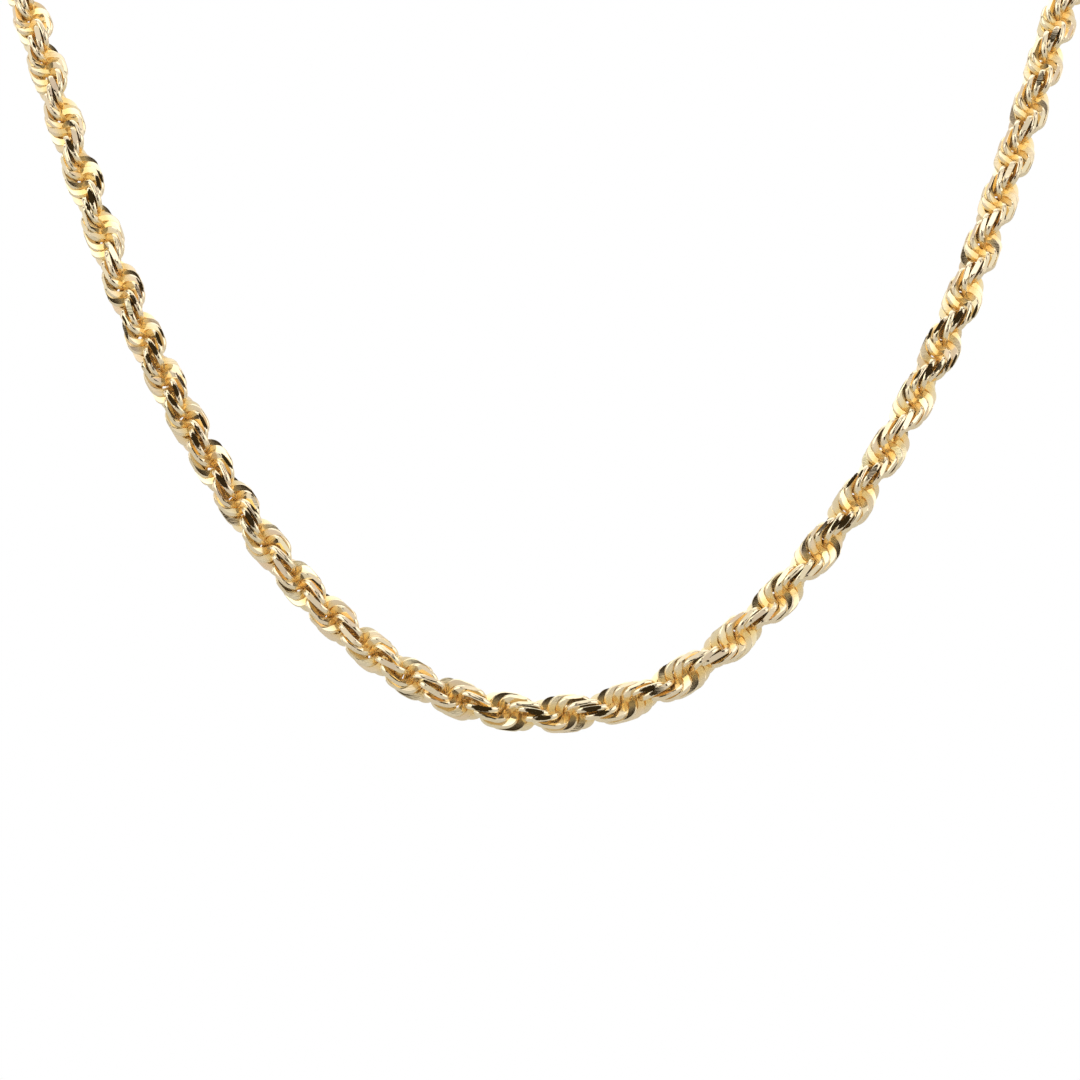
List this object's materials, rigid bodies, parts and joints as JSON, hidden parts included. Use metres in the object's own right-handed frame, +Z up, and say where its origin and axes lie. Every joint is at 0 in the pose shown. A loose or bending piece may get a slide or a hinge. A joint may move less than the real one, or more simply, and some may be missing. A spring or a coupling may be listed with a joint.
{
  "type": "rope chain",
  "caption": "Closed neck chain of twisted, facet-cut round links in yellow gold, shown as worn, with capped ends and a lobster clasp at the nape.",
  "frame": {"origin": "middle of the closure at the nape, where the chain rests on the back of the neck", "axes": "+Z up, +X to the right seen from the front, the front of the chain towards -Y"},
  "size_m": [0.128, 0.1397, 0.1248],
  "materials": {
    "gold": "polished, facet cut"
  },
  "bodies": {
    "root": {"rope_chain": "gold", "end_cap_left": "gold", "end_cap_right": "gold", "clasp_ring": "gold", "catch_ring": "gold", "lobster_clasp": "gold"}
  },
  "joints": []
}
